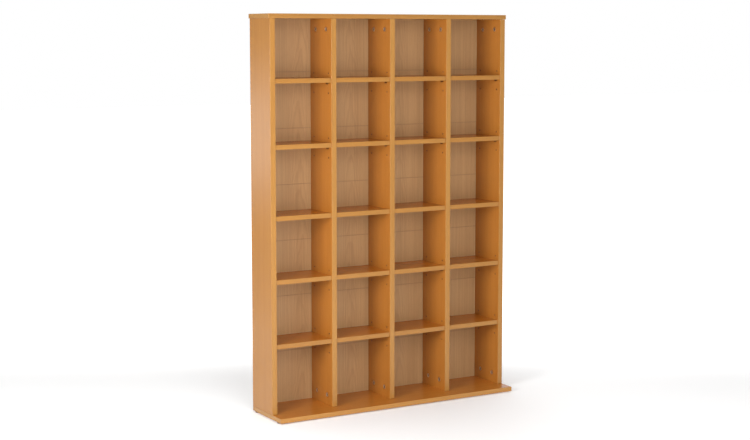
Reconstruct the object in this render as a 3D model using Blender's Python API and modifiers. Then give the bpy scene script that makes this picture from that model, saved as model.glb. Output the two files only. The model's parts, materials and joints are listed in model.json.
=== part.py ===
"""Media shelf: a slim free-standing rack for disc cases, with four bays and six rows.

Two side panels and three dividers stand on a base board that runs out in front of
them, and a top board closes them. Cam locks pull every upright to both boards. The
middle row of shelves is doweled in and ties the uprights together; the other shelves
lie loose on pins, so each one can be drawn out forwards. A folding hardboard back,
nailed on from behind, squares the carcass.

Metres, +Z up. The origin is the centre of the footprint on the floor; the open front
faces -Y.
"""
import math

import bmesh
import bpy
from mathutils import Matrix, Vector

# Carcass
BAYS = 4
BAY_WIDTH = 0.2025
UPRIGHT_THICKNESS = 0.018
UPRIGHT_DEPTH = 0.147
CLEAR_HEIGHT = 1.277
BOARD_THICKNESS = 0.015
TOP_OVERHANG = 0.004
BASE_PROJECTION = 0.060

# Clearances
SEAT_GAP = 0.0003
SHELF_END_GAP = 0.00075
SHELF_REAR_GAP = 0.0005

# Shelves: each half of the height starts with one clear row, then goes on by the pitch
FIRST_ROW_CLEAR = 0.1915
SHELF_PITCH = 0.2105
LOOSE_SHELVES_PER_HALF = 2
FIXED_SHELF_DROP = 0.6315
SHELF_SETBACK = 0.002

# Shelf pins and the spare holes above and below each of them
PIN_DIAMETER = 0.005
PIN_LENGTH = 0.009
PIN_SEAT_DEPTH = 0.008
PIN_FRONT_INSET = 0.021
PIN_REAR_INSET = 0.024
HOLE_PITCH = 0.032
SPARE_HOLES_EACH_WAY = 1

# Dowels of the fixed shelves
DOWEL_DIAMETER = 0.008
DOWEL_LENGTH = 0.007
DOWEL_EDGE_INSET = 0.032

# Cam locks, each with its bolt
CAM_DIAMETER = 0.0145
CAM_DEPTH = 0.0125
CAM_EDGE_INSET = 0.0375
CAM_END_INSET = 0.034
CAM_SLOT_LENGTH = 0.0085
CAM_SLOT_WIDTH = 0.002
CAM_SLOT_DEPTH = 0.0022
BOLT_DIAMETER = 0.006
BOLT_BITE = 0.010

# Folding hardboard back
BACK_THICKNESS = 0.003
BACK_LEAVES = 7
BACK_MARGIN = 0.0025
BACK_SIDE_MARGIN = 0.002

# Nail-in glides under the base board
GLIDE_DIAMETER = 0.020
GLIDE_HEIGHT = 0.003
GLIDE_CHAMFER = 0.001
GLIDE_NAIL_DIAMETER = 0.0024
GLIDE_NAIL_LENGTH = 0.011
GLIDE_EDGE_INSET = 0.022

# How far a cutter runs past the face that it cuts
OVERRUN = 0.001

# Facets round each kind of round piece
PIN_SIDES = 8
DOWEL_SIDES = 8
CAM_SIDES = 16
BOLT_SIDES = 8
GLIDE_SIDES = 16

# Places that follow from the sizes above
UPRIGHTS = BAYS + 1
BAY_PITCH = BAY_WIDTH + UPRIGHT_THICKNESS
CARCASS_WIDTH = BAYS * BAY_PITCH + UPRIGHT_THICKNESS
BACK_FRONT_DEPTH = UPRIGHT_DEPTH + SEAT_GAP
FRONT_Y = (BASE_PROJECTION - BACK_FRONT_DEPTH - BACK_THICKNESS) / 2
REAR_Y = FRONT_Y + UPRIGHT_DEPTH
BACK_Y = FRONT_Y + BACK_FRONT_DEPTH
BASE_FRONT_Y = FRONT_Y - BASE_PROJECTION
BASE_LOW_Z = GLIDE_HEIGHT + SEAT_GAP
BASE_TOP_Z = BASE_LOW_Z + BOARD_THICKNESS
TOP_LOW_Z = BASE_TOP_Z + CLEAR_HEIGHT
TOP_HIGH_Z = TOP_LOW_Z + BOARD_THICKNESS
UPRIGHT_LOW_Z = BASE_TOP_Z + SEAT_GAP
UPRIGHT_HIGH_Z = TOP_LOW_Z - SEAT_GAP
FIXED_TOP_Z = TOP_LOW_Z - FIXED_SHELF_DROP
FIXED_LOW_Z = FIXED_TOP_Z - BOARD_THICKNESS


def clear_scene():
    """Remove what the file opened with."""
    for thing in list(bpy.data.objects):
        bpy.data.objects.remove(thing, do_unlink=True)


def make_collection(name):
    """Return a new collection under the scene's own."""
    collection = bpy.data.collections.new(name)
    bpy.context.scene.collection.children.link(collection)
    return collection


def make_material(name, colour, roughness, metallic=0.0):
    """Return a plain Principled material."""
    material = bpy.data.materials.new(name)
    material.use_nodes = True
    shader = material.node_tree.nodes["Principled BSDF"]
    shader.inputs["Base Color"].default_value = (*colour, 1.0)
    shader.inputs["Roughness"].default_value = roughness
    shader.inputs["Metallic"].default_value = metallic
    material.diffuse_color = (*colour, 1.0)
    return material


def add_block(mesh, low, high):
    """Add a box to a bmesh, between two corners."""
    low, high = Vector(low), Vector(high)
    size = Matrix.Diagonal((*(high - low), 1.0))
    place = Matrix.Translation((low + high) / 2)
    bmesh.ops.create_cube(mesh, size=1.0, matrix=place @ size)


def add_rod(mesh, start, end, radius, sides):
    """Add a round bar to a bmesh, from one point to another."""
    start, end = Vector(start), Vector(end)
    run = end - start
    turn = run.to_track_quat("Z", "Y").to_matrix().to_4x4()
    bmesh.ops.create_cone(
        mesh, cap_ends=True, segments=sides, depth=run.length,
        radius1=radius, radius2=radius, matrix=Matrix.Translation((start + end) / 2) @ turn)


def to_object(mesh, name, origin, collection, material=None):
    """Turn a bmesh, drawn in world places, into an object with its origin at a point."""
    bmesh.ops.translate(mesh, verts=mesh.verts, vec=-Vector(origin))
    data = bpy.data.meshes.new(name)
    mesh.to_mesh(data)
    mesh.free()
    thing = bpy.data.objects.new(name, data)
    thing.location = origin
    collection.objects.link(thing)
    if material:
        data.materials.append(material)
    return thing


def round_off(thing):
    """Shade the round faces smooth and keep the edges crisp."""
    thing.data.shade_smooth()
    thing.data.set_sharp_from_angle(angle=math.radians(50))


def combine(thing, tool, operation):
    """Cut a tool out of a piece, or join it on, with a Boolean."""
    tool.hide_render = True
    tool.display_type = "WIRE"
    step = thing.modifiers.new(tool.name, "BOOLEAN")
    step.object = tool
    step.operation = operation


class Workshop:
    """The collections, the materials and the empty that every piece hangs on."""

    def __init__(self):
        self.parts = make_collection("media_shelf")
        self.tools = make_collection("cutters")
        self.board = make_material("beech_board", (0.62, 0.36, 0.14), 0.45)
        self.hardboard = make_material("printed_hardboard", (0.45, 0.29, 0.16), 0.6)
        self.zinc = make_material("zinc_fitting", (0.55, 0.52, 0.47), 0.35, 0.9)
        self.plastic = make_material("glide_plastic", (0.16, 0.10, 0.06), 0.5)
        self.root = bpy.data.objects.new("media_shelf_frame", None)
        self.parts.objects.link(self.root)

    def piece(self, mesh, name, origin, material):
        """Add a finished piece of the shelf."""
        thing = to_object(mesh, name, origin, self.parts, material)
        thing.parent = self.root
        return thing

    def tool(self, mesh, name, origin):
        """Add a body that cuts or joins a piece."""
        return to_object(mesh, name, origin, self.tools)


def upright_name(index):
    """Return the name of an upright, counted from 0 at the left side panel."""
    if index == 0:
        return "side_panel_left"
    if index == BAYS:
        return "side_panel_right"
    return f"divider_{index}"


def upright_left_x(index):
    """Return the place of an upright's left face."""
    return index * BAY_PITCH - CARCASS_WIDTH / 2


def bay_left_x(bay):
    """Return the left end of a bay, counted from 0."""
    return upright_left_x(bay) + UPRIGHT_THICKNESS


def loose_shelf_tops():
    """Return the top of every loose row, from the top of the shelf down."""
    tops = []
    for ceiling in (TOP_LOW_Z, FIXED_LOW_Z):
        for step in range(LOOSE_SHELVES_PER_HALF):
            tops.append(ceiling - FIRST_ROW_CLEAR - step * SHELF_PITCH)
    return tops


def pin_heights():
    """Return the height of the pins' axes under each loose row."""
    drop = BOARD_THICKNESS + SEAT_GAP + PIN_DIAMETER / 2
    return [top - drop for top in loose_shelf_tops()]


def pin_depths():
    """Return the places of the front and the rear pins."""
    return (FRONT_Y + PIN_FRONT_INSET, REAR_Y - PIN_REAR_INSET)


def dowel_depths():
    """Return the places of a fixed shelf's front and rear dowels."""
    front = FRONT_Y + SHELF_SETBACK + DOWEL_EDGE_INSET
    rear = REAR_Y - SHELF_REAR_GAP - DOWEL_EDGE_INSET
    return (front, rear)


def cam_depths():
    """Return the places of the front and the rear cam locks."""
    return {"front": FRONT_Y + CAM_EDGE_INSET, "rear": REAR_Y - CAM_EDGE_INSET}


def cam_heights():
    """Return, for each end of an upright, the cam's height and the way its bolt points."""
    return {"top": (UPRIGHT_HIGH_Z - CAM_END_INSET, 1), "bottom": (UPRIGHT_LOW_Z + CAM_END_INSET, -1)}


def cam_face(index):
    """Return the face of an upright that takes the cams, and the way into the board."""
    left = upright_left_x(index)
    if index == 0:
        return left + UPRIGHT_THICKNESS, -1
    return left, 1


def open_faces(index):
    """Return the faces of an upright that look into a bay, each with its way out."""
    left = upright_left_x(index)
    faces = []
    if index > 0:
        faces.append((left, -1))
    if index < BAYS:
        faces.append((left + UPRIGHT_THICKNESS, 1))
    return faces


def board_centre(low, high):
    """Return the middle of a box."""
    return (Vector(low) + Vector(high)) / 2


def make_board(shop, name, low, high, material):
    """Add a plain board between two corners."""
    mesh = bmesh.new()
    add_block(mesh, low, high)
    return shop.piece(mesh, name, board_centre(low, high), material)


def spare_hole_tool(shop, index, origin):
    """Return the cutter for the spare pin holes of one upright."""
    mesh = bmesh.new()
    radius = PIN_DIAMETER / 2
    steps = [step for step in range(-SPARE_HOLES_EACH_WAY, SPARE_HOLES_EACH_WAY + 1) if step]
    for face, out in open_faces(index):
        for depth in pin_depths():
            for height in pin_heights():
                for step in steps:
                    z = height + step * HOLE_PITCH
                    start = (face + out * OVERRUN, depth, z)
                    end = (face - out * PIN_SEAT_DEPTH, depth, z)
                    add_rod(mesh, start, end, radius, PIN_SIDES)
    return shop.tool(mesh, f"spare_holes_{index}", origin)


def pin_tool(shop, index, origin):
    """Return the shelf pins of one upright, seated in its faces."""
    mesh = bmesh.new()
    for face, out in open_faces(index):
        for depth in pin_depths():
            for height in pin_heights():
                start = (face - out * OVERRUN, depth, height)
                end = (face + out * PIN_LENGTH, depth, height)
                add_rod(mesh, start, end, PIN_DIAMETER / 2, PIN_SIDES)
    return shop.tool(mesh, f"pins_{index}", origin)


def dowel_hole_tool(shop, index, origin):
    """Return the cutter for the fixed shelves' dowels in one upright."""
    mesh = bmesh.new()
    middle = (FIXED_TOP_Z + FIXED_LOW_Z) / 2
    for face, out in open_faces(index):
        for depth in dowel_depths():
            start = (face + out * OVERRUN, depth, middle)
            end = (face - out * (DOWEL_LENGTH + SEAT_GAP), depth, middle)
            add_rod(mesh, start, end, DOWEL_DIAMETER / 2 + SEAT_GAP, DOWEL_SIDES)
    return shop.tool(mesh, f"dowel_holes_{index}", origin)


def cam_bore_tool(shop, index, origin):
    """Return the cutter for the cams' housings in one upright."""
    mesh = bmesh.new()
    face, inward = cam_face(index)
    for depth in cam_depths().values():
        for height, _ in cam_heights().values():
            start = (face - inward * OVERRUN, depth, height)
            end = (face + inward * (CAM_DEPTH + SEAT_GAP), depth, height)
            add_rod(mesh, start, end, CAM_DIAMETER / 2 + SEAT_GAP, CAM_SIDES)
    return shop.tool(mesh, f"cam_bores_{index}", origin)


def bolt_bore_tool(shop, index, origin):
    """Return the cutter for the bolts' bores in one upright's ends."""
    mesh = bmesh.new()
    x = upright_left_x(index) + UPRIGHT_THICKNESS / 2
    for depth in cam_depths().values():
        for height, way in cam_heights().values():
            end = height + way * (CAM_END_INSET + OVERRUN)
            add_rod(mesh, (x, depth, height), (x, depth, end), BOLT_DIAMETER / 2 + SEAT_GAP, BOLT_SIDES)
    return shop.tool(mesh, f"bolt_bores_{index}", origin)


def make_upright(shop, index):
    """Add a side panel or a divider, with its holes and its shelf pins."""
    left = upright_left_x(index)
    low = (left, FRONT_Y, UPRIGHT_LOW_Z)
    high = (left + UPRIGHT_THICKNESS, REAR_Y, UPRIGHT_HIGH_Z)
    upright = make_board(shop, upright_name(index), low, high, shop.board)
    origin = board_centre(low, high)
    for tool in (spare_hole_tool, dowel_hole_tool, cam_bore_tool, bolt_bore_tool):
        combine(upright, tool(shop, index, origin), "DIFFERENCE")
    combine(upright, pin_tool(shop, index, origin), "UNION")


def bolt_sockets(shop, name, face, way, origin):
    """Return the cutter for the sockets that every bolt bites into, in one board."""
    mesh = bmesh.new()
    for index in range(UPRIGHTS):
        x = upright_left_x(index) + UPRIGHT_THICKNESS / 2
        for depth in cam_depths().values():
            start = (x, depth, face - way * OVERRUN)
            end = (x, depth, face + way * (BOLT_BITE + SEAT_GAP))
            add_rod(mesh, start, end, BOLT_DIAMETER / 2 + SEAT_GAP, BOLT_SIDES)
    return shop.tool(mesh, name, origin)


def make_top(shop):
    """Add the top board, which overhangs both side panels."""
    half = CARCASS_WIDTH / 2 + TOP_OVERHANG
    low = (-half, FRONT_Y, TOP_LOW_Z)
    high = (half, REAR_Y, TOP_HIGH_Z)
    top = make_board(shop, "top_board", low, high, shop.board)
    combine(top, bolt_sockets(shop, "top_sockets", TOP_LOW_Z, 1, board_centre(low, high)), "DIFFERENCE")


def glide_places():
    """Return where the glides stand under the base board, by name."""
    columns = {"left": 0, "middle": BAYS // 2, "right": BAYS}
    rows = {"front": BASE_FRONT_Y + GLIDE_EDGE_INSET, "rear": REAR_Y - GLIDE_EDGE_INSET}
    places = {}
    for side, index in columns.items():
        x = upright_left_x(index) + UPRIGHT_THICKNESS / 2
        for end, y in rows.items():
            places[f"glide_{side}_{end}"] = (x, y)
    return places


def make_base(shop):
    """Add the base board, which runs out in front of the uprights."""
    half = CARCASS_WIDTH / 2
    low = (-half, BASE_FRONT_Y, BASE_LOW_Z)
    high = (half, REAR_Y, BASE_TOP_Z)
    base = make_board(shop, "base_board", low, high, shop.board)
    origin = board_centre(low, high)
    combine(base, bolt_sockets(shop, "base_sockets", BASE_TOP_Z, -1, origin), "DIFFERENCE")
    mesh = bmesh.new()
    for x, y in glide_places().values():
        end = GLIDE_HEIGHT + GLIDE_NAIL_LENGTH + SEAT_GAP
        radius = GLIDE_NAIL_DIAMETER / 2 + SEAT_GAP
        add_rod(mesh, (x, y, GLIDE_HEIGHT), (x, y, end), radius, PIN_SIDES)
    combine(base, shop.tool(mesh, "nail_holes", origin), "DIFFERENCE")


def make_glide(shop, name, x, y):
    """Add a nail-in glide, turned from its profile: a chamfered disc and its nail."""
    radius = GLIDE_DIAMETER / 2
    nail = GLIDE_NAIL_DIAMETER / 2
    tip = GLIDE_HEIGHT + GLIDE_NAIL_LENGTH
    outline = [
        (0.0, tip), (nail, tip), (nail, GLIDE_HEIGHT), (radius, GLIDE_HEIGHT),
        (radius, GLIDE_CHAMFER), (radius - GLIDE_CHAMFER, 0.0), (0.0, 0.0)]
    mesh = bmesh.new()
    points = [mesh.verts.new((x + out, y, z)) for out, z in outline]
    for first, second in zip(points, points[1:]):
        mesh.edges.new((first, second))
    glide = shop.piece(mesh, name, (x, y, 0.0), shop.plastic)
    turn = glide.modifiers.new("turned", "SCREW")
    turn.steps = GLIDE_SIDES
    turn.render_steps = GLIDE_SIDES
    turn.use_merge_vertices = True
    turn.merge_threshold = SEAT_GAP / 10
    turn.use_smooth_shade = False


def make_loose_shelf(shop, row, bay, top):
    """Add a shelf that lies on four pins and can be drawn out forwards."""
    left = bay_left_x(bay)
    low = (left + SHELF_END_GAP, FRONT_Y + SHELF_SETBACK, top - BOARD_THICKNESS)
    high = (left + BAY_WIDTH - SHELF_END_GAP, REAR_Y - SHELF_REAR_GAP, top)
    make_board(shop, f"shelf_row{row}_bay{bay + 1}", low, high, shop.board)


def make_fixed_shelf(shop, bay):
    """Add a shelf of the middle row, joined to its uprights by two dowels at each end."""
    left = bay_left_x(bay)
    low = (left + SEAT_GAP, FRONT_Y + SHELF_SETBACK, FIXED_LOW_Z)
    high = (left + BAY_WIDTH - SEAT_GAP, REAR_Y - SHELF_REAR_GAP, FIXED_TOP_Z)
    shelf = make_board(shop, f"fixed_shelf_bay{bay + 1}", low, high, shop.board)
    middle = (FIXED_TOP_Z + FIXED_LOW_Z) / 2
    mesh = bmesh.new()
    for face, out in ((left, -1), (left + BAY_WIDTH, 1)):
        for depth in dowel_depths():
            start = (face - out * (SEAT_GAP + OVERRUN), depth, middle)
            end = (face + out * DOWEL_LENGTH, depth, middle)
            add_rod(mesh, start, end, DOWEL_DIAMETER / 2, DOWEL_SIDES)
    combine(shelf, shop.tool(mesh, f"dowels_{bay}", board_centre(low, high)), "UNION")


def make_cam_lock(shop, index, end, side):
    """Add a cam with the bolt that it draws, as one fitting."""
    face, inward = cam_face(index)
    y = cam_depths()[side]
    z, way = cam_heights()[end]
    x = upright_left_x(index) + UPRIGHT_THICKNESS / 2
    outer = Vector((face, y, z))
    mesh = bmesh.new()
    add_rod(mesh, outer, outer + Vector((inward * CAM_DEPTH, 0.0, 0.0)), CAM_DIAMETER / 2, CAM_SIDES)
    name = f"cam_lock_{upright_name(index)}_{end}_{side}"
    cam = shop.piece(mesh, name, outer, shop.zinc)
    mesh = bmesh.new()
    tip = z + way * (CAM_END_INSET + SEAT_GAP + BOLT_BITE)
    add_rod(mesh, (x, y, z), (x, y, tip), BOLT_DIAMETER / 2, BOLT_SIDES)
    combine(cam, shop.tool(mesh, f"{name}_bolt", outer), "UNION")
    for turn, label in enumerate(("upright", "level")):
        reach = [CAM_SLOT_WIDTH / 2, CAM_SLOT_LENGTH / 2]
        half_y, half_z = reach[turn], reach[1 - turn]
        floor = face + inward * CAM_SLOT_DEPTH
        mouth = face - inward * OVERRUN
        mesh = bmesh.new()
        low = (min(floor, mouth), y - half_y, z - half_z)
        high = (max(floor, mouth), y + half_y, z + half_z)
        add_block(mesh, low, high)
        combine(cam, shop.tool(mesh, f"{name}_slot_{label}", outer), "DIFFERENCE")
    round_off(cam)


def make_back(shop):
    """Add the leaves of the folding back, one above the other."""
    half = CARCASS_WIDTH / 2 - BACK_SIDE_MARGIN
    low_z = BASE_LOW_Z + BACK_MARGIN
    high_z = TOP_HIGH_Z - BACK_MARGIN
    leaf = (high_z - low_z - (BACK_LEAVES - 1) * SEAT_GAP) / BACK_LEAVES
    for number in range(BACK_LEAVES):
        start = low_z + number * (leaf + SEAT_GAP)
        low = (-half, BACK_Y, start)
        high = (half, BACK_Y + BACK_THICKNESS, start + leaf)
        make_board(shop, f"back_leaf_{number + 1}", low, high, shop.hardboard)


def make_shelves(shop):
    """Add every row of shelves: the loose ones, and the fixed row between the halves."""
    rows = [row for row in range(1, 2 * LOOSE_SHELVES_PER_HALF + 2) if row != LOOSE_SHELVES_PER_HALF + 1]
    for bay in range(BAYS):
        for row, top in zip(rows, loose_shelf_tops()):
            make_loose_shelf(shop, row, bay, top)
        make_fixed_shelf(shop, bay)


def make_fittings(shop):
    """Add the cam locks and the glides."""
    for index in range(UPRIGHTS):
        for end in cam_heights():
            for side in cam_depths():
                make_cam_lock(shop, index, end, side)
    for name, (x, y) in glide_places().items():
        make_glide(shop, name, x, y)


def main():
    """Build the whole shelf."""
    clear_scene()
    shop = Workshop()
    for index in range(UPRIGHTS):
        make_upright(shop, index)
    make_top(shop)
    make_base(shop)
    make_shelves(shop)
    make_back(shop)
    make_fittings(shop)


main()
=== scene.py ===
"""Looks of the media shelf.

Boards are foil-covered chipboard with a separate band glued on each edge that shows.
The foil is a straight-grained beech print, the back a paler oak print on hardboard,
bare brown behind. Pins, cams and glides are turned pieces.
"""

import json
import math

import bmesh
import bpy
from mathutils import Matrix, Vector


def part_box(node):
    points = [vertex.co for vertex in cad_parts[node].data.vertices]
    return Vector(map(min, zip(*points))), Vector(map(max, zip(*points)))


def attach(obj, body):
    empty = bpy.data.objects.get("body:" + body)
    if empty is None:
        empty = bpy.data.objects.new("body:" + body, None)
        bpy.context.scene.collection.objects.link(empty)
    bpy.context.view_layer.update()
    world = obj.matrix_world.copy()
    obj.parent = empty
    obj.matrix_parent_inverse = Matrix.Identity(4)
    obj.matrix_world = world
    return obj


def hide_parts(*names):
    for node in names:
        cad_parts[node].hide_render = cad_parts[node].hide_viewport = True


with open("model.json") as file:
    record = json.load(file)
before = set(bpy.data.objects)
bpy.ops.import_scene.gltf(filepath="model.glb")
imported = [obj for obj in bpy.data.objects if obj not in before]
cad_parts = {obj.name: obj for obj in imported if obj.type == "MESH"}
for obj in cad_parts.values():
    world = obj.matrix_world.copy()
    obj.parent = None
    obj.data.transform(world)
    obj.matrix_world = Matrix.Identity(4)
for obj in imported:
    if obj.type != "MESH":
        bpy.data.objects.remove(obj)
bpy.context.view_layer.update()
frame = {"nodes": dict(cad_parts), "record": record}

# Nodes of the CAD part
UPRIGHTS = ["side_panel_left", "divider_1", "divider_2", "divider_3", "side_panel_right"]
LOOSE_ROWS = (1, 2, 4, 5)
BAYS = (1, 2, 3, 4)
LEAVES = [f"back_leaf_{number}" for number in range(1, 8)]

# Sides of a board, the names of the bands on them, and the outer side of each side panel
FRONT, REAR = (0, -1, 0), (0, 1, 0)
LEFT, RIGHT = (-1, 0, 0), (1, 0, 0)
BAND_NAMES = {FRONT: "front_band", LEFT: "left_band", RIGHT: "right_band"}
OUTER_SIDES = {UPRIGHTS[0]: LEFT, UPRIGHTS[-1]: RIGHT}

# Material slots of a board after its foil, and of a cam lock after its zinc
CORE_SLOT, BORE_SLOT, OUTER_SLOT = 1, 2, 3
RECESS_SLOT = 1

# Boards and leaves
UPRIGHT_THICKNESS = 0.018
BOARD_ROUND, BOARD_SEGMENTS = 0.0002, 2
LEAF_ROUND, LEAF_SEGMENTS = 0.0014, 3

# Edge bands, and the glue behind them
BAND_THICKNESS = 0.0006
BAND_ROUND, BAND_SEGMENTS = 0.0005, 3
GLUE_LINE = 0.00005

# Shelf pins and their holes
PIN_RADIUS = 0.0025
PIN_LENGTH = 0.009
PIN_ROUND, PIN_ROUND_STEPS = 0.0006, 3
PIN_PLAY = 0.0001
PIN_FRONT_INSET, PIN_REAR_INSET = 0.021, 0.024
HOLE_DEPTH = 0.008
HOLE_PITCH = 0.032
HOLE_STEPS = (-1, 0, 1)

# Gap between a fitting and its seat, and between a shelf and what holds it
SEAT_GAP = 0.0003

# Cam locks
CAM_RADIUS = 0.00725
CAM_RIM = 0.0009
CAM_DISH = 0.0005
CAM_ROUND = 0.0003
CAM_SLOT_LENGTH = 0.0085
CAM_SLOT_WIDTH = 0.002
CAM_SLOT_DEPTH = 0.0022
CAM_SINK = 0.0002
BOLT_RADIUS = 0.003

# Glides
GLIDE_HEIGHT = 0.003
GLIDE_CHAMFER = 0.001
GLIDE_ROUND = 0.0004
GLIDE_NAIL_RADIUS = 0.0012

# Heads of the panel pins: size, spacing, and the outline as shares of radius and rise
NAIL_RADIUS = 0.0016
NAIL_RISE = 0.0005
NAIL_STEP = 0.105
NAIL_OUTLINE = ((0.0, 1.0), (0.7, 0.8), (1.0, 0.3), (1.0, -1.0), (0.0, -1.0))

# Tape over the joints of the back
TAPE_WIDTH = 0.030
TAPE_THICKNESS = 0.0002
TAPE_ROUND, TAPE_SEGMENTS = TAPE_THICKNESS / 3, 1
TAPE_LIFT = 0.00005
TAPE_END = 0.004

# Sides round the turned pieces, and how far a cutting tool stands out
ROUND_SIDES, CAM_SIDES, NAIL_SIDES = 24, 40, 12
OVERRUN = 0.001

# Profile of a rounded edge, and the angle from which an edge is shaded crisp
ROUND_PROFILE = 0.5
CRISP_ANGLE = math.radians(40.0)

# Limits: how alike two directions are, how near to a face, and how near to be one point
FACING = 0.99
ON_FACE = 0.00005
ONE_POINT = 1e-6

# Sockets of a node that mixes colours: factor, first colour, second colour and result
MIX_FACTOR, MIX_FIRST, MIX_SECOND, MIX_RESULT = 0, 6, 7, 2

# Beech prints: axis of the grain, light colour and dark colour
BEECH_PRINTS = {
    "beech_foil_x": ("X", (0.425, 0.160, 0.0243), (0.383, 0.139, 0.0197)),
    "beech_foil_z": ("Z", (0.425, 0.160, 0.0243), (0.383, 0.139, 0.0197)),
    # Painted shade: the side panels' outer faces take a copy of the foil with less red, standing for the
    # shade on them
    "beech_foil_outer": ("Z", (0.370, 0.157, 0.0245), (0.333, 0.136, 0.0200)),
    # Painted shade: the shelves take a copy of the foil with less green and blue, which takes the pale sheen
    # off their tops
    "beech_foil_shelf": ("X", (0.446, 0.147, 0.0150), (0.402, 0.127, 0.0122)),
    # Painted light: the base board's foil, and its band below, are lighter copies standing for more light on
    # the base
    "beech_foil_base": ("X", (0.480, 0.168, 0.0225), (0.433, 0.146, 0.0183)),
    "beech_band_upright": ("Z", (0.415, 0.200, 0.0454), (0.366, 0.162, 0.0317)),
    "beech_band_shelf": ("X", (0.396, 0.184, 0.0390), (0.349, 0.148, 0.0273)),
    "beech_band_top": ("X", (0.374, 0.180, 0.0416), (0.331, 0.145, 0.0290)),
    # Painted light: a lighter copy of the band for the base board
    "beech_band_base": ("X", (0.458, 0.219, 0.0495), (0.404, 0.177, 0.0346)),
    "beech_band_end": ("Y", (0.385, 0.193, 0.0464), (0.339, 0.156, 0.0324)),
}

# Beech, layer by layer: scale along and across the grain, then detail, roughness and distortion
BEECH_LAYERS = (
    ((1.1, 42.0), (3.0, 0.55, 0.3)),
    ((3.5, 190.0), (4.0, 0.6)),
    ((24.0, 1300.0), (2.0,)),
    ((210.0, 1500.0), (1.0,)),
)

# How the layers mix: shares, and spans of values, given as two going in and two coming out
CLOUD_SHARE, CLOUD_SHIFT, STREAK_SHARE = 0.75, -0.12, 0.5
BEECH_TONE = (0.22, 0.80)
FIBRE_SHADE = (0.25, 0.75, 0.94, 1.05)
FLECK_EDGE, FLECK_SHARE, FLECK_TONE, FLECK_DEPTH = (0.60, 0.72), 0.30, 0.55, -1.5
BEECH_ROUGHNESS = (0.2, 0.8, 0.22, 0.27)

# Bumps, here and below, are a distance and a strength
BEECH_BUMP = (0.00003, 0.2)

# Oak print: colours, and each layer's scale, texture and share
OAK_LIGHT, OAK_DARK = (0.521, 0.317, 0.147), (0.439, 0.260, 0.117)
OAK_LINE, OAK_PORE = (0.332, 0.183, 0.078), (0.278, 0.148, 0.062)
OAK_STREAK, OAK_STREAK_SHARE = ((310.0, 310.0, 2.6), 4.0, 0.6), 0.6
OAK_CLOUD, OAK_CLOUD_SHARE = ((24.0, 24.0, 0.9), 2.0, 0.5), 0.4
OAK_PORES, PORE_EDGE, PORE_SHARE = ((1100.0, 1100.0, 34.0), 3.0, 0.6), (0.55, 0.70), 0.32
OAK_TONE = (0.36, 0.64)

# Cathedrals in the oak: pitch, start, how they wander, arch, climb and ripple, and each line's edges
CATHEDRAL_PITCH, CATHEDRAL_START = 0.19, 0.332
CATHEDRAL_WANDER, WANDER_REACH = ((1.5, 1.5, 2.3), 2.0), 0.07
CATHEDRAL_CURVE, CATHEDRAL_CLIMB = 2500.0, 11.0
CATHEDRAL_RIPPLE, RIPPLE_REACH = ((55.0, 55.0, 9.0), 3.0), 1.6
LINE_START, LINE_END = (0.35, 0.85), (1.0, 0.90)
CATHEDRAL_WIDTH, CATHEDRAL_SHARE = (0.055, 0.015), 0.28

# Painted shade along the folds: how far from a fold it begins and is full, how much, and its colour
FOLD_SHADE_SPAN, FOLD_SHADE_SHARE = (0.0025, 0.0010), 0.32
OAK_FOLD_SHADE = (0.300, 0.165, 0.075)

# Hardboard: bare rear, and how the two faces differ
RAW_DARK, RAW_LIGHT, RAW_CLOUD = (0.125, 0.062, 0.030), (0.235, 0.130, 0.066), (0.16, 0.085, 0.042)
RAW_FIBRE = (420.0, 4.0, 0.65)
RAW_CLOUDS, RAW_CLOUD_SHARE = (14.0, 3.0, 0.5), 0.35
REAR_LIMIT = -0.9
REAR_ROUGHER, PRINT_ROUGHNESS = 0.30, 0.42
HARDBOARD_BUMP, HARDBOARD_SPECULAR = (0.00004, 0.6), 0.4

# Chipboard: chips and dust
CHIP_SCALE = 700.0
CHIP_DARK, CHIP_LIGHT = (0.30, 0.19, 0.10), (0.58, 0.42, 0.25)
DUST, DUST_SHARE, DUST_COLOUR = (2600.0, 3.0), 0.4, (0.42, 0.29, 0.16)
CHIP_BUMP, CHIP_ROUGHNESS, CHIP_SPECULAR = (0.00015, 0.8), 0.85, 0.3

# Metals: light colour, dark colour, roughness, and scale of the blotches
METALS = {
    "zinc_casting": ((0.68, 0.52, 0.38), (0.54, 0.40, 0.28), 0.48, 320.0),
    # Painted shade: a much darker copy of the zinc for the recess of each cam's slot
    "zinc_recess": ((0.28, 0.19, 0.12), (0.18, 0.12, 0.07), 0.55, 320.0),
    "plated_steel": ((0.72, 0.71, 0.69), (0.55, 0.54, 0.52), 0.28, 500.0),
    # The pins' metal is a very dark brown
    "bronzed_steel": ((0.21, 0.085, 0.022), (0.14, 0.055, 0.013), 0.48, 500.0),
}
GRIT_FINER, GRIT_DETAIL = 9, 2.0
METAL_BUMP, METAL_SMOOTHER, METAL_ROUGHER = (0.00004, 0.5), 0.06, 0.08

# Moulded and papery surfaces, and painted shade for the bores, given like the metals
MOTTLED = {
    "brown_plastic": ((0.13, 0.075, 0.045), (0.09, 0.052, 0.030), 0.42, 900.0),
    "paper_tape": ((0.56, 0.44, 0.30), (0.46, 0.35, 0.23), 0.7, 260.0),
    # Painted shade: a dark brown inside every bore
    "scorched_bore": ((0.115, 0.055, 0.025), (0.070, 0.032, 0.014), 0.85, 900.0),
}
MOTTLED_BUMP, MOTTLED_ROUGHER, MOTTLED_SPECULAR = (0.00005, 0.6), 0.1, 0.4

# Blotches on these surfaces, as detail and roughness, and where most of a noise's values lie
BLOTCH = (4.0, 0.6)
NOISE_SPAN = (0.3, 0.7)

# Camera: the photograph's frame, focal length and lens centre in pixels, place and angles in radians
FRAME_WIDTH, FRAME_HEIGHT = 750, 440
FOCAL_PIXELS = 1501.1
CENTRE_PIXEL_Y = 190.0
SENSOR = 36.0
CAMERA_PLACE = (-2.5393, -4.3294, 1.2431)
YAW, PITCH, ROLL = 0.52336, 0.10307, -0.00015
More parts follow.
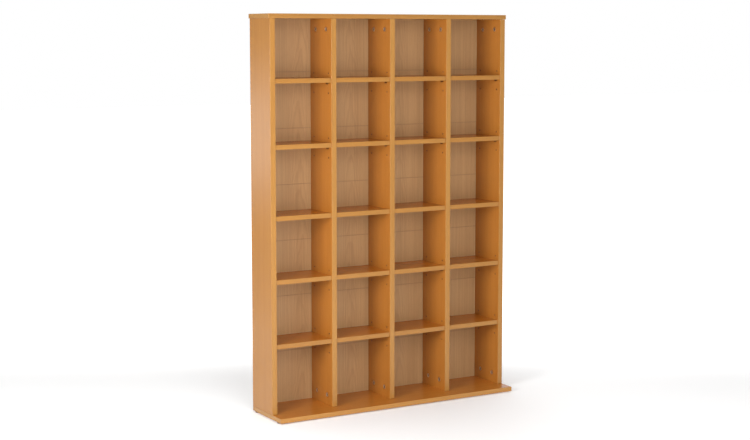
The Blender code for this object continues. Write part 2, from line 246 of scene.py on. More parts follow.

# Floor: size, colours, painted shade that greys it far off, and the glow of the paper that it stands for
FLOOR_SIZE = 40.0
FLOOR_DARK, FLOOR_LIGHT = (0.90, 0.90, 0.90), (0.93, 0.93, 0.93)
FLOOR_CLOUDS = (1.5, 3.0)
FLOOR_SHADE_FADE, FAR_FLOOR_SHADE = (1.8, 6.0), (0.63, 0.63, 0.63)
FLOOR_ROUGHNESS, FLOOR_SPECULAR = 0.7, 0.2
PAPER_ALONG, PAPER_ACROSS = (0.50, 0.866, 0.0), (0.9615, -0.275, 0.0)
PAPER_RISE, PAPER_EDGE = (0.1, 1.3), (-1.50, -1.25)
FLOOR_GLOW, FAR_GLOW = 0.09, 0.92
SIDE_RISE, SIDE_GLOW = (0.1, 0.7), 0.12

# Studio: glow of the room, and the backdrop's edges, each with its axis
WHITE = (1.0, 1.0, 1.0)
ROOM_GLOW, BACKDROP_GLOW = 0.40, 1.0
BACKDROP_EDGES = (((0.0, 1.0, 0.0), (0.0, 0.35)), (PAPER_ACROSS, (-0.60, -0.10)))

# Soft boxes: angle from straight ahead towards the left, distance, height, size, power and aim
AIM = (0.0, 0.0, 0.65)
SHEEN_AIM = (-0.45, 0.03, 0.925)
SOFT_BOXES = {
    "key": (64, 2.4, 1.0, (0.9, 0.9), 47.0, AIM),
    "front": (15, 3.0, 1.1, (1.8, 2.2), 38.9, AIM),
    "front_high": (15, 2.6, 2.4, (1.4, 1.4), 11.8, AIM),
    "overhead": (45, 2.4, 3.2, (1.8, 1.8), 8.7, AIM),
    "sheen_wide": (144.4, 2.25, 0.793, (0.8, 0.69), 1.08, SHEEN_AIM),
    "sheen_narrow": (144.4, 2.20, 0.793, (0.8, 0.38), 0.76, SHEEN_AIM),
}


# Node graphs

class Graph:
    """Adds and joins the nodes of a material or of the world."""

    def __init__(self, owner):
        owner.use_nodes = True
        self.tree = owner.node_tree

    def plug(self, socket, value):
        """Set a socket to a number, a colour or another node's output."""
        if isinstance(value, bpy.types.NodeSocket):
            self.tree.links.new(value, socket)
        elif hasattr(socket.default_value, "__len__"):
            size = len(socket.default_value)
            socket.default_value = (tuple(value) + (1.0,))[:size]
        else:
            socket.default_value = value

    def add(self, kind, sockets, settings=None, output=0):
        """Add a node, fill its sockets by name or number, and return one of its outputs."""
        node = self.tree.nodes.new(kind)
        for name, value in (settings or {}).items():
            setattr(node, name, value)
        for name, value in sockets.items():
            self.plug(node.inputs[name], value)
        return node.outputs[output]

    def math(self, operation, *values):
        """Return the result of a sum."""
        return self.add("ShaderNodeMath", dict(enumerate(values)), {"operation": operation})

    def component(self, vector, axis):
        """Return a vector's X, Y or Z."""
        return self.add("ShaderNodeSeparateXYZ", {0: vector}, output=axis)

    def reach(self, vector, direction):
        """Return how far a vector reaches in a direction."""
        sockets = {0: vector, 1: direction}
        return self.add("ShaderNodeVectorMath", sockets, {"operation": "DOT_PRODUCT"}, "Value")

    def ramp(self, value, low, high, out_low=0.0, out_high=1.0):
        """Return a value stretched from one range to another, smoothly and clamped."""
        sockets = {"Value": value, "From Min": low, "From Max": high, "To Min": out_low, "To Max": out_high}
        return self.add("ShaderNodeMapRange", sockets, {"interpolation_type": "SMOOTHSTEP"})

    def mix(self, factor, first, second, blend="MIX"):
        """Return a mix of two colours."""
        sockets = {MIX_FACTOR: factor, MIX_FIRST: first, MIX_SECOND: second}
        settings = {"data_type": "RGBA", "blend_type": blend}
        return self.add("ShaderNodeMix", sockets, settings, MIX_RESULT)


class Surface(Graph):
    """Builds one material."""

    def __init__(self, name):
        self.material = bpy.data.materials.new(name)
        super().__init__(self.material)
        self.shader = self.tree.nodes["Principled BSDF"]
        self.place = self.add("ShaderNodeTexCoord", {}, output="Object")

    def noise(self, scale, detail, roughness=0.5, distortion=0.0):
        """Return a noise value between 0 and 1, at one scale or at one for each axis."""
        scales = scale if isinstance(scale, tuple) else (scale,) * 3
        vector = self.add("ShaderNodeVectorMath", {0: self.place, 1: scales}, {"operation": "MULTIPLY"})
        return self.add("ShaderNodeTexNoise", {
            "Vector": vector, "Scale": 1.0, "Detail": detail, "Roughness": roughness,
            "Distortion": distortion})

    def bump(self, height, distance, strength):
        """Bend the shader's normals by a height."""
        sockets = {"Height": height, "Distance": distance, "Strength": strength}
        self.plug(self.shader.inputs["Normal"], self.add("ShaderNodeBump", sockets))

    def finish(self, colour, roughness, specular=0.5):
        """Plug the results into the shader, and return the material."""
        self.plug(self.shader.inputs["Base Color"], colour)
        self.plug(self.shader.inputs["Roughness"], roughness)
        self.plug(self.shader.inputs["Specular IOR Level"], specular)
        return self.material


# Materials

def grain(graph, axis, scales, texture):
    """Return a noise that is drawn out along one axis."""
    along, across = scales
    return graph.noise(tuple(along if name == axis else across for name in "XYZ"), *texture)


def beech(name, axis, light, dark):
    """Return a beech print with its grain along one axis."""
    graph = Surface(name)
    cloud, streak, fibre, fleck = [grain(graph, axis, *layer) for layer in BEECH_LAYERS]
    clouds = graph.math("MULTIPLY_ADD", cloud, CLOUD_SHARE, CLOUD_SHIFT)
    tone = graph.math("ADD", clouds, graph.math("MULTIPLY", streak, STREAK_SHARE))
    colour = graph.mix(graph.ramp(tone, *BEECH_TONE), dark, light)
    colour = graph.mix(1.0, colour, graph.ramp(fibre, *FIBRE_SHADE), "MULTIPLY")
    spots = graph.math("MULTIPLY", graph.ramp(fleck, *FLECK_EDGE), FLECK_SHARE)
    colour = graph.mix(spots, colour, tuple(part * FLECK_TONE for part in dark))
    graph.bump(graph.math("ADD", fibre, graph.math("MULTIPLY", spots, FLECK_DEPTH)), *BEECH_BUMP)
    return graph.finish(colour, graph.ramp(streak, *BEECH_ROUGHNESS))


def cathedral_lines(graph):
    """Return where the oak's dark lines run: arches side by side that climb the back."""
    wander = graph.math("MULTIPLY", graph.noise(*CATHEDRAL_WANDER), WANDER_REACH)
    across = graph.math("ADD", graph.component(graph.place, "X"), wander)
    turn = graph.math("MULTIPLY", graph.math("ADD", across, CATHEDRAL_START), 1 / CATHEDRAL_PITCH)
    offset = graph.math("SUBTRACT", graph.math("FRACT", turn), 0.5)
    offset = graph.math("MULTIPLY", offset, CATHEDRAL_PITCH)
    arch = graph.math("MULTIPLY", graph.math("MULTIPLY", offset, offset), CATHEDRAL_CURVE)
    climb = graph.math("MULTIPLY", graph.component(graph.place, "Z"), CATHEDRAL_CLIMB)
    ripple = graph.math("MULTIPLY", graph.noise(*CATHEDRAL_RIPPLE), RIPPLE_REACH)
    saw = graph.math("FRACT", graph.math("ADD", graph.math("ADD", arch, climb), ripple))
    line = graph.math("MULTIPLY", graph.ramp(saw, *LINE_START), graph.ramp(saw, *LINE_END))
    width = graph.ramp(graph.math("ABSOLUTE", offset), *CATHEDRAL_WIDTH)
    return graph.math("MULTIPLY", line, graph.math("MULTIPLY", width, CATHEDRAL_SHARE))


def oak_print(graph):
    """Return the back's print, fine upright grain with cathedrals: its colour and its pores."""
    streak = graph.math("MULTIPLY", graph.noise(*OAK_STREAK), OAK_STREAK_SHARE)
    cloud = graph.math("MULTIPLY", graph.noise(*OAK_CLOUD), OAK_CLOUD_SHARE)
    tone = graph.ramp(graph.math("ADD", streak, cloud), *OAK_TONE)
    colour = graph.mix(cathedral_lines(graph), graph.mix(tone, OAK_DARK, OAK_LIGHT), OAK_LINE)
    pores = graph.noise(*OAK_PORES)
    dark_pores = graph.math("MULTIPLY", graph.ramp(pores, *PORE_EDGE), PORE_SHARE)
    return graph.mix(dark_pores, colour, OAK_PORE), pores


def fold_heights():
    """Return the heights of the folds between the back's leaves."""
    return [(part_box(lower)[1].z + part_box(upper)[0].z) / 2 for lower, upper in zip(LEAVES, LEAVES[1:])]


def painted_fold_shade(graph, printed):
    """Return the print's colour, darkened along the folds by painted shade."""
    folds = fold_heights()
    pitch = (folds[-1] - folds[0]) / (len(folds) - 1)
    rise = graph.math("SUBTRACT", graph.component(graph.place, "Z"), folds[0] - pitch / 2)
    turn = graph.math("FRACT", graph.math("MULTIPLY", rise, 1 / pitch))
    away = graph.math("MULTIPLY", graph.math("ABSOLUTE", graph.math("SUBTRACT", turn, 0.5)), pitch)
    return graph.mix(graph.ramp(away, *FOLD_SHADE_SPAN, 0.0, FOLD_SHADE_SHARE), printed, OAK_FOLD_SHADE)


def hardboard():
    """Return printed hardboard: the print faces the bays, the rear is bare."""
    graph = Surface("printed_hardboard")
    printed, pores = oak_print(graph)
    # Painted shade darkens the print along the folds
    printed = painted_fold_shade(graph, printed)
    fibre = graph.noise(*RAW_FIBRE)
    raw = graph.mix(graph.ramp(fibre, *NOISE_SPAN), RAW_DARK, RAW_LIGHT)
    cloud = graph.ramp(graph.noise(*RAW_CLOUDS), *NOISE_SPAN, 0.0, RAW_CLOUD_SHARE)
    raw = graph.mix(cloud, raw, RAW_CLOUD)
    normal = graph.add("ShaderNodeTexCoord", {}, output="Normal")
    rear = graph.math("GREATER_THAN", graph.component(normal, "Y"), REAR_LIMIT)
    graph.bump(graph.mix(rear, pores, fibre), *HARDBOARD_BUMP)
    roughness = graph.math("MULTIPLY_ADD", rear, REAR_ROUGHER, PRINT_ROUGHNESS)
    return graph.finish(graph.mix(rear, printed, raw), roughness, HARDBOARD_SPECULAR)


def chipboard():
    """Return the raw core of the boards, seen in bores and on edges without a band."""
    graph = Surface("chipboard")
    sockets = {"Vector": graph.place, "Scale": CHIP_SCALE}
    chips = graph.add("ShaderNodeTexVoronoi", sockets, output="Color")
    shade = graph.add("ShaderNodeSeparateColor", {0: chips})
    dust = graph.noise(*DUST)
    colour = graph.mix(shade, CHIP_DARK, CHIP_LIGHT)
    colour = graph.mix(graph.ramp(dust, *NOISE_SPAN, 0.0, DUST_SHARE), colour, DUST_COLOUR)
    graph.bump(graph.math("ADD", shade, dust), *CHIP_BUMP)
    return graph.finish(colour, CHIP_ROUGHNESS, CHIP_SPECULAR)


def metal(name, light, dark, roughness, scale):
    """Return a dull cast or drawn metal with faint blotches and scratches."""
    graph = Surface(name)
    blotch = graph.noise(scale, *BLOTCH)
    colour = graph.mix(graph.ramp(blotch, *NOISE_SPAN), dark, light)
    graph.bump(graph.noise(scale * GRIT_FINER, GRIT_DETAIL), *METAL_BUMP)
    graph.plug(graph.shader.inputs["Metallic"], 1.0)
    low, high = roughness - METAL_SMOOTHER, roughness + METAL_ROUGHER
    return graph.finish(colour, graph.ramp(blotch, *NOISE_SPAN, low, high))


def mottled(name, light, dark, roughness, scale):
    """Return a moulded or papery surface with a fine mottle."""
    graph = Surface(name)
    mottle = graph.noise(scale, *BLOTCH)
    colour = graph.mix(graph.ramp(mottle, *NOISE_SPAN), dark, light)
    graph.bump(mottle, *MOTTLED_BUMP)
    rough = graph.ramp(mottle, *NOISE_SPAN, roughness, roughness + MOTTLED_ROUGHER)
    return graph.finish(colour, rough, MOTTLED_SPECULAR)


def make_palette():
    """Return every material of the shelf by its name."""
    made = {"chipboard": chipboard(), "printed_hardboard": hardboard()}
    for build, looks in ((beech, BEECH_PRINTS), (metal, METALS), (mottled, MOTTLED)):
        for name, look in looks.items():
            made[name] = build(name, *look)
    return made


# Shapes

def mesh_object(mesh, name, materials):
    """Turn a bmesh into an object of the scene."""
    data = bpy.data.meshes.new(name)
    mesh.to_mesh(data)
    mesh.free()
    for material in materials:
        data.materials.append(material)
    thing = bpy.data.objects.new(name, data)
    bpy.context.scene.collection.objects.link(thing)
    return thing


def keep_flat(thing):
    """Shade the large faces flat, so that only the small ones beside them look round."""
    thing.modifiers.new("flat_faces", "WEIGHTED_NORMAL").keep_sharp = True


def smooth(thing):
    """Shade round faces smooth and keep crisp edges."""
    thing.data.shade_smooth()
    thing.data.set_sharp_from_angle(angle=CRISP_ANGLE)
    keep_flat(thing)


def round_edges(mesh, edges, rounding, segments):
    """Round some edges of a bmesh over."""
    bmesh.ops.bevel(
        mesh, geom=list(edges), offset=rounding, segments=segments, profile=ROUND_PROFILE, affect="EDGES")


def add_box(mesh, low, high):
    """Add a box to a bmesh."""
    low, high = Vector(low), Vector(high)
    size = Matrix.Diagonal((*(high - low), 1.0))
    bmesh.ops.create_cube(mesh, size=1.0, matrix=Matrix.Translation((high + low) / 2) @ size)


def add_rod(mesh, start, end, radius, sides=ROUND_SIDES):
    """Add a round bar to a bmesh."""
    start, end = Vector(start), Vector(end)
    run = end - start
    turn = run.to_track_quat("Z", "Y").to_matrix().to_4x4()
    bmesh.ops.create_cone(
        mesh, cap_ends=True, segments=sides, depth=run.length, radius1=radius, radius2=radius,
        matrix=Matrix.Translation((start + end) / 2) @ turn)


def add_turned(mesh, outline, matrix, sides):
    """Add a shape turned about its own Z from an outline of radius and height."""
    part = bmesh.new()
    points = [part.verts.new((radius, 0.0, height)) for radius, height in outline]
    edges = [part.edges.new(pair) for pair in zip(points, points[1:])]
    bmesh.ops.spin(
        part, geom=points + edges, axis=(0.0, 0.0, 1.0), cent=(0.0, 0.0, 0.0),
        angle=math.tau, steps=sides, use_merge=True)
    bmesh.ops.remove_doubles(part, verts=part.verts, dist=ONE_POINT)
    bmesh.ops.recalc_face_normals(part, faces=part.faces)
    bmesh.ops.transform(part, matrix=matrix, verts=part.verts)
    data = bpy.data.meshes.new("turned")
    part.to_mesh(data)
    part.free()
    mesh.from_mesh(data)
    bpy.data.meshes.remove(data)


def cut(thing, mesh, slot):
    """Cut a bmesh out of a piece; the faces that it leaves take one of the piece's slots."""
    tool = mesh_object(mesh, f"{thing.name}_tool", [None] * (slot + 1))
    for face in tool.data.polygons:
        face.material_index = slot
    step = thing.modifiers.new("cut", "BOOLEAN")
    step.object = tool
    step.operation = "DIFFERENCE"
    step.solver = "EXACT"
    bpy.context.view_layer.update()
    done = thing.evaluated_get(bpy.context.evaluated_depsgraph_get())
    data = bpy.data.meshes.new_from_object(done)
    thing.modifiers.clear()
    old, thing.data = thing.data, data
    bpy.data.meshes.remove(old)
    bpy.data.objects.remove(tool)


def paint_faces(thing, normals, slot):
    """Give the flat sides with these normals one of the piece's slots."""
    for face in thing.data.polygons:
        if any(face.normal.dot(Vector(normal)) > FACING for normal in normals):
            face.material_index = slot


# Boards

def body_of(node):
    """Return the body that holds a CAD node."""
    bodies = frame["record"]["behaviour"]["bodies"]
    return next(name for name, nodes in bodies.items() if node in nodes)


def settle(thing, node):
    """Let a piece ride with the body of a CAD node."""
    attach(thing, body_of(node))


def axis_of(side):
    """Return the number of the axis that a side looks along."""
    return 0 if side[0] else 1


def band_material(node, side):
    """Return the material of a board's edge band."""
    if side in (LEFT, RIGHT):
        return palette["beech_band_end"]
    if node in UPRIGHTS:
        return palette["beech_band_upright"]
    # The base board's band is the lighter copy: painted light
    name = {"top_board": "beech_band_top", "base_board": "beech_band_base"}.get(node, "beech_band_shelf")
    return palette[name]


def make_band(node, side, low, high):
    """Glue an edge band on one side of a board, its outer edges rounded over."""
    axis = axis_of(side)
    low, high = Vector(low), Vector(high)
    if side[axis] < 0:
        face = low[axis]
        high[axis] = face + BAND_THICKNESS
    else:
        face = high[axis]
        low[axis] = face - BAND_THICKNESS
    mesh = bmesh.new()
    add_box(mesh, low, high)
    outer = [edge for edge in mesh.edges if all(abs(vert.co[axis] - face) < ON_FACE for vert in edge.verts)]
    round_edges(mesh, outer, BAND_ROUND, BAND_SEGMENTS)
    band = mesh_object(mesh, f"{node}_{BAND_NAMES[side]}", [band_material(node, side)])
    smooth(band)
    settle(band, node)


def make_board(node, foil, bands, low, high, raw=(REAR,)):
    """Make a board's foil-covered core, with a band on each finished edge."""
    core_low, core_high = Vector(low), Vector(high)
    for side in bands:
        axis = axis_of(side)
        if side[axis] < 0:
            core_low[axis] += BAND_THICKNESS + GLUE_LINE
        else:
            core_high[axis] -= BAND_THICKNESS + GLUE_LINE
    for side in bands:
        start, end = Vector(low), Vector(high)
        if axis_of(side) == 0:
            start.y, end.y = core_low.y, core_high.y
        make_band(node, side, start, end)
    mesh = bmesh.new()
    add_box(mesh, core_low, core_high)
    round_edges(mesh, mesh.edges, BOARD_ROUND, BOARD_SEGMENTS)
    board = mesh_object(mesh, f"{node}_board", [palette[foil], palette["chipboard"]])
    paint_faces(board, raw, CORE_SLOT)
    return board


def place_board(board, node):
    """Put a finished board in the place of its CAD node."""
    smooth(board)
    settle(board, node)
    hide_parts(node)


def upright_faces(node):
    """Return the left and the right face of an upright, without its pins."""
    low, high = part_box(node)
    if node == UPRIGHTS[0]:
        return low.x, low.x + UPRIGHT_THICKNESS
    if node == UPRIGHTS[-1]:
        return high.x - UPRIGHT_THICKNESS, high.x
    middle = (low.x + high.x) / 2
    return middle - UPRIGHT_THICKNESS / 2, middle + UPRIGHT_THICKNESS / 2


def middle_of(node):
    """Return how far to the right an upright's middle lies."""
    return sum(upright_faces(node)) / 2


def open_faces(node):
    """Return the faces of an upright that look into a bay, each with its way out."""
    left, right = upright_faces(node)
    faces = []
    if node != UPRIGHTS[0]:
        faces.append((left, -1))
    if node != UPRIGHTS[-1]:
        faces.append((right, 1))
    return faces


def pin_places(node):
    """Return every shelf pin of an upright: its face, the way out, its depth and its height."""
    low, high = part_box(node)
    places = []
    for face, out in open_faces(node):
        for depth in (low.y + PIN_FRONT_INSET, high.y - PIN_REAR_INSET):
            for row in LOOSE_ROWS:
                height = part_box(f"shelf_row{row}_bay1")[0].z - SEAT_GAP - PIN_RADIUS
                places.append((face, out, depth, height))
    return places


def cam_places(node):
    """Return an upright's cam locks: CAD node, face, way in, depth, height and the bolt's way."""
    places = []
    for end, way in (("top", 1), ("bottom", -1)):
        for side in ("front", "rear"):
            name = f"cam_lock_{node}_{end}_{side}"
            low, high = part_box(name)
            height = low.z + CAM_RADIUS if way > 0 else high.z - CAM_RADIUS
            face, inward = (high.x, -1) if node == UPRIGHTS[0] else (low.x, 1)
            places.append((name, face, inward, (low.y + high.y) / 2, height, way))
    return places


def face_bores(node):
    """Return what is bored out of an upright's faces: pin holes and the seats of the cams."""
    mesh = bmesh.new()
    for face, out, depth, height in pin_places(node):
        for step in HOLE_STEPS:
            start = Vector((face + out * OVERRUN, depth, height + step * HOLE_PITCH))
            end = start - Vector((out * (HOLE_DEPTH + OVERRUN), 0, 0))
            add_rod(mesh, start, end, PIN_RADIUS + PIN_PLAY)
    for name, face, inward, depth, height, _ in cam_places(node):
        low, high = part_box(name)
        start = Vector((face - inward * OVERRUN, depth, height))
        end = start + Vector((inward * (high.x - low.x + OVERRUN + SEAT_GAP), 0, 0))
        add_rod(mesh, start, end, CAM_RADIUS + SEAT_GAP, CAM_SIDES)
    return mesh


def bolt_bores(node, low, high):
    """Return what is bored out of an upright's ends: a hole for each bolt, up to its cam."""
    mesh = bmesh.new()
    middle = middle_of(node)
    for _, _, _, depth, height, way in cam_places(node):
        end = high.z + OVERRUN if way > 0 else low.z - OVERRUN
        add_rod(mesh, (middle, depth, height), (middle, depth, end), BOLT_RADIUS + SEAT_GAP)
    return mesh


def make_upright(node):
    """Replace an upright: its board with every bore, its front band and its pins."""
    low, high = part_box(node)
    low.x, high.x = upright_faces(node)
    board = make_board(node, "beech_foil_z", (FRONT,), low, high)
    # Every bore takes a dark brown: painted shade in the holes
    board.data.materials.append(palette["scorched_bore"])
    # The outer faces of the side panels take the less red copy of the foil: painted shade
    board.data.materials.append(palette["beech_foil_outer"])
    if node in OUTER_SIDES:
        paint_faces(board, (OUTER_SIDES[node],), OUTER_SLOT)
    cut(board, face_bores(node), BORE_SLOT)
    cut(board, bolt_bores(node, low, high), CORE_SLOT)
    place_board(board, node)
    make_pins(node)


def make_pins(node):
    """Add an upright's shelf pins: plain dark brown metal rods with rounded ends."""
    mesh = bmesh.new()
    inner, shoulder = PIN_RADIUS - PIN_ROUND, PIN_LENGTH - PIN_ROUND
    seat = HOLE_DEPTH - PIN_PLAY
    outline = [(0.0, PIN_LENGTH)]
    for step in range(PIN_ROUND_STEPS + 1):
        turn = math.pi / 2 * step / PIN_ROUND_STEPS
        outline.append((inner + PIN_ROUND * math.sin(turn), shoulder + PIN_ROUND * math.cos(turn)))
    outline += [(PIN_RADIUS, -seat), (0.0, -seat)]
    for face, out, depth, height in pin_places(node):
        turn = Matrix.Rotation(out * math.pi / 2, 4, "Y")
        add_turned(mesh, outline, Matrix.Translation((face, depth, height)) @ turn, ROUND_SIDES)
    pins = mesh_object(mesh, f"{node}_shelf_pins", [palette["bronzed_steel"]])
    smooth(pins)
    settle(pins, node)


def make_ends():
    """Replace the top and the base board, with a socket for every bolt."""
    # The base board takes the lighter copy of the foil: painted light
    for node, foil, way in (("top_board", "beech_foil_x", 1), ("base_board", "beech_foil_base", -1)):
        low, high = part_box(node)
        board = make_board(node, foil, (FRONT, LEFT, RIGHT), low, high)
        inner = low.z if way > 0 else high.z
        mesh = bmesh.new()
        for upright in UPRIGHTS:
            middle = middle_of(upright)
            for name, _, _, depth, _, bolt_way in cam_places(upright):
                if bolt_way == way:
                    bolt_low, bolt_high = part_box(name)
                    tip = bolt_high.z if way > 0 else bolt_low.z
                    start = (middle, depth, inner - way * OVERRUN)
                    end = (middle, depth, tip + way * SEAT_GAP)
                    add_rod(mesh, start, end, BOLT_RADIUS + SEAT_GAP)
        cut(board, mesh, CORE_SLOT)
        place_board(board, node)


def make_shelves():
    """Replace every shelf; the rear edge and the ends are bare chipboard."""
    for bay in BAYS:
        fixed = f"fixed_shelf_bay{bay}"
        for node in [f"shelf_row{row}_bay{bay}" for row in LOOSE_ROWS] + [fixed]:
            low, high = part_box(node)
            if node == fixed:
                low.x = upright_faces(UPRIGHTS[bay - 1])[1] + SEAT_GAP
                high.x = upright_faces(UPRIGHTS[bay])[0] - SEAT_GAP
            # The shelves take the copy of the foil that paints out the sheen on their tops: painted shade
            board = make_board(node, "beech_foil_shelf", (FRONT,), low, high, (REAR, LEFT, RIGHT))
            place_board(board, node)


# Fittings and back

def cam_mesh(depth, bolt):
    """Return the mesh of a cam lock: its face looks along -X, its bolt runs up +Z."""
    mesh = bmesh.new()
    outline = [(0.0, -CAM_DISH), (CAM_RADIUS - CAM_RIM - CAM_DISH, -CAM_DISH), (CAM_RADIUS - CAM_RIM, 0.0)]
    outline += [(CAM_RADIUS - CAM_ROUND, 0.0), (CAM_RADIUS, -CAM_ROUND), (CAM_RADIUS, -depth), (0.0, -depth)]
    add_turned(mesh, outline, Matrix.Rotation(-math.pi / 2, 4, "Y"), CAM_SIDES)
    # The slots take the much darker copy of the zinc: painted shade in the recess
    cam = mesh_object(mesh, "cam_lock_shape", [palette["zinc_casting"], palette["zinc_recess"]])
    for length, width in ((CAM_SLOT_LENGTH, CAM_SLOT_WIDTH), (CAM_SLOT_WIDTH, CAM_SLOT_LENGTH)):
        mesh = bmesh.new()
        add_box(mesh, (-OVERRUN, -length / 2, -width / 2), (CAM_SLOT_DEPTH, length / 2, width / 2))
        cut(cam, mesh, RECESS_SLOT)
    mesh = bmesh.new()
    mesh.from_mesh(cam.data)
    middle = UPRIGHT_THICKNESS / 2
    add_rod(mesh, (middle, 0.0, 0.0), (middle, 0.0, bolt), BOLT_RADIUS)
    mesh.to_mesh(cam.data)
    mesh.free()
    smooth(cam)
    data = cam.data
    bpy.data.objects.remove(cam)
    return data


def make_cam_locks():
    """Replace every cam lock, all from one mesh turned to face its bay."""
    low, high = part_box("cam_lock_divider_1_top_front")
    data = cam_mesh(high.x - low.x - CAM_SINK, high.z - low.z - CAM_RADIUS)
    for node in UPRIGHTS:
        for name, face, inward, depth, height, way in cam_places(node):
            cam = bpy.data.objects.new(f"{name}_fitting", data)
            bpy.context.scene.collection.objects.link(cam)
            turn = Matrix.Rotation(0.0 if inward > 0 else math.pi, 4, "Z")
            tip = Matrix.Rotation(0.0 if way > 0 else math.pi, 4, "X")
            cam.matrix_world = Matrix.Translation((face + inward * CAM_SINK, depth, height)) @ turn @ tip
            keep_flat(cam)
            settle(cam, name)
            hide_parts(name)


def make_glides():
    """Replace the glides by smoother turned ones."""
    for side in ("left", "middle", "right"):
        for end in ("front", "rear"):
            node = f"glide_{side}_{end}"
            low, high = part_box(node)
            radius = (high.x - low.x) / 2
            outline = [(0.0, high.z), (GLIDE_NAIL_RADIUS, high.z), (GLIDE_NAIL_RADIUS, GLIDE_HEIGHT)]
            outline += [(radius - GLIDE_ROUND, GLIDE_HEIGHT), (radius, GLIDE_HEIGHT - GLIDE_ROUND)]
            outline += [(radius, GLIDE_CHAMFER), (radius - GLIDE_CHAMFER, 0.0), (0.0, 0.0)]
            mesh = bmesh.new()
            middle = (low + high) / 2
            add_turned(mesh, outline, Matrix.Translation((middle.x, middle.y, 0.0)), CAM_SIDES)
            glide = mesh_object(mesh, f"{node}_foot", [palette["brown_plastic"]])
            smooth(glide)
            settle(glide, node)
            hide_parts(node)


def dress_back():
    """Finish the hardboard leaves and tape their joints behind."""
    for name in LEAVES:
        leaf = frame["nodes"][name]
        leaf.data.materials.clear()
        leaf.data.materials.append(palette["printed_hardboard"])
        ease = leaf.modifiers.new("eased_edges", "BEVEL")
        ease.width = LEAF_ROUND
        ease.segments = LEAF_SEGMENTS
        ease.limit_method = "ANGLE"
    for number, (lower, joint) in enumerate(zip(LEAVES, fold_heights()), 1):
        low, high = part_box(lower)
        mesh = bmesh.new()
        start = (low.x + TAPE_END, high.y + TAPE_LIFT, joint - TAPE_WIDTH / 2)
        end = (high.x - TAPE_END, high.y + TAPE_LIFT + TAPE_THICKNESS, joint + TAPE_WIDTH / 2)
        add_box(mesh, start, end)
        round_edges(mesh, mesh.edges, TAPE_ROUND, TAPE_SEGMENTS)
        tape = mesh_object(mesh, f"back_tape_{number}", [palette["paper_tape"]])
        settle(tape, lower)


def nail_places():
    """Return where the panel pins go through the back: into uprights, top and base."""
    top_low, top_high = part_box("top_board")
    base_low, base_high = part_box("base_board")
    places = []
    count = round((top_low.z - base_high.z) / NAIL_STEP)
    step = (top_low.z - base_high.z) / count
    for node in UPRIGHTS:
        places += [(middle_of(node), base_high.z + step * (index + 0.5)) for index in range(count)]
    for low, high in ((top_low, top_high), (base_low, base_high)):
        for left, right in zip(UPRIGHTS, UPRIGHTS[1:]):
            places.append(((middle_of(left) + middle_of(right)) / 2, (low.z + high.z) / 2))
    return places


def make_nails():
    """Add the heads of the panel pins."""
    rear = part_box(LEAVES[0])[1].y
    outline = [(NAIL_RADIUS * across, NAIL_RISE * up) for across, up in NAIL_OUTLINE]
    mesh = bmesh.new()
    turn = Matrix.Rotation(-math.pi / 2, 4, "X")
    for x, z in nail_places():
        add_turned(mesh, outline, Matrix.Translation((x, rear, z)) @ turn, NAIL_SIDES)
    nails = mesh_object(mesh, "panel_pins", [palette["plated_steel"]])
    smooth(nails)
    settle(nails, LEAVES[0])


# Stage

def make_camera():
    """Stand the camera where the photograph was taken."""
    data = bpy.data.cameras.new("camera")
    data.sensor_width = SENSOR
    data.lens = FOCAL_PIXELS / FRAME_WIDTH * SENSOR
    data.shift_y = (CENTRE_PIXEL_Y - FRAME_HEIGHT / 2) / FRAME_WIDTH
    camera = bpy.data.objects.new("camera", data)
    forward = Vector((math.sin(YAW) * math.cos(PITCH), math.cos(YAW) * math.cos(PITCH), -math.sin(PITCH)))
    level = Vector((math.cos(YAW), -math.sin(YAW), 0.0))
    upward = level.cross(forward)
    right = level * math.cos(ROLL) + upward * math.sin(ROLL)
    up = upward * math.cos(ROLL) - level * math.sin(ROLL)
    turn = Matrix((right, up, -forward)).transposed().to_4x4()
    camera.matrix_world = Matrix.Translation(CAMERA_PLACE) @ turn
    bpy.context.scene.collection.objects.link(camera)
    bpy.context.scene.camera = camera


def make_soft_box(name, angle, distance, height, size, power, aim):
    """Stand a soft box round the shelf, turned towards it."""
    data = bpy.data.lights.new(name, "AREA")
    data.shape = "RECTANGLE"
    data.size, data.size_y = size
    data.energy = power
    light = bpy.data.objects.new(name, data)
    turn = math.radians(angle)
    place = Vector((-distance * math.sin(turn), -distance * math.cos(turn), height))
    look = (Vector(aim) - place).to_track_quat("-Z", "Y").to_matrix().to_4x4()
    light.matrix_world = Matrix.Translation(place) @ look
    bpy.context.scene.collection.objects.link(light)


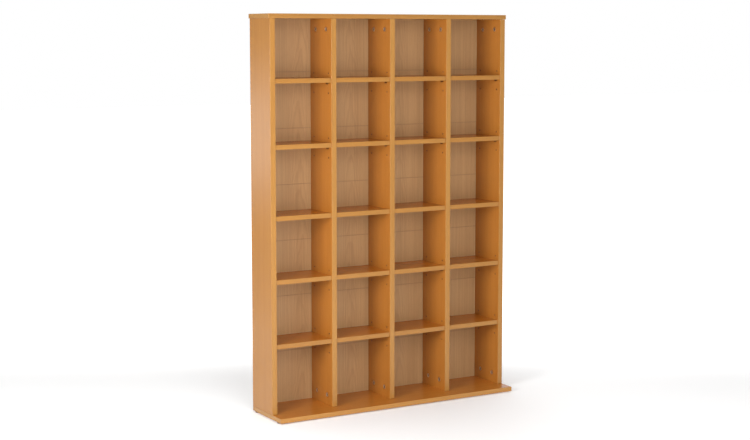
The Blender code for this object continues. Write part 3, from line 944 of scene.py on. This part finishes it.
def make_floor():
    """Lay a plain pale floor that glows like a lit sheet of paper running back to the backdrop, greyed far
    off by painted shade.
    """
    mesh = bmesh.new()
    bmesh.ops.create_grid(mesh, x_segments=1, y_segments=1, size=FLOOR_SIZE / 2)
    graph = Surface("floor")
    colour = graph.mix(graph.noise(*FLOOR_CLOUDS), FLOOR_DARK, FLOOR_LIGHT)
    away = graph.add("ShaderNodeVectorMath", {0: graph.place}, {"operation": "LENGTH"}, "Value")
    # Far from the shelf the floor's colour turns grey: painted shade
    colour = graph.mix(graph.ramp(away, *FLOOR_SHADE_FADE), colour, FAR_FLOOR_SHADE)
    across = graph.reach(graph.place, PAPER_ACROSS)
    behind = graph.ramp(graph.reach(graph.place, PAPER_ALONG), *PAPER_RISE)
    lit = graph.math("MULTIPLY", behind, graph.ramp(across, *PAPER_EDGE))
    glow = graph.ramp(lit, 0.0, 1.0, FLOOR_GLOW, FAR_GLOW)
    glow = graph.math("ADD", glow, graph.ramp(across, *SIDE_RISE, 0.0, SIDE_GLOW))
    graph.plug(graph.shader.inputs["Emission Color"], WHITE)
    graph.plug(graph.shader.inputs["Emission Strength"], glow)
    floor = mesh_object(mesh, "floor", [graph.finish(colour, FLOOR_ROUGHNESS, FLOOR_SPECULAR)])


def make_world():
    """Hang a white backdrop behind the shelf; the rest of the studio is pale grey."""
    world = bpy.data.worlds.new("studio")
    bpy.context.scene.world = world
    graph = Graph(world)
    way = graph.add("ShaderNodeTexCoord", {}, output="Generated")
    fades = [graph.ramp(graph.reach(way, axis), *edges) for axis, edges in BACKDROP_EDGES]
    sockets = {"Value": graph.math("MULTIPLY", *fades), "To Min": ROOM_GLOW, "To Max": BACKDROP_GLOW}
    background = graph.tree.nodes["Background"]
    graph.plug(background.inputs["Color"], WHITE)
    graph.plug(background.inputs["Strength"], graph.add("ShaderNodeMapRange", sockets))


# The whole scene

palette = make_palette()
for upright in UPRIGHTS:
    make_upright(upright)
make_ends()
make_shelves()
make_cam_locks()
make_glides()
dress_back()
make_nails()
make_floor()
make_world()
for name, box in SOFT_BOXES.items():
    make_soft_box(name, *box)
make_camera()
bpy.context.scene.view_settings.view_transform = "Standard"
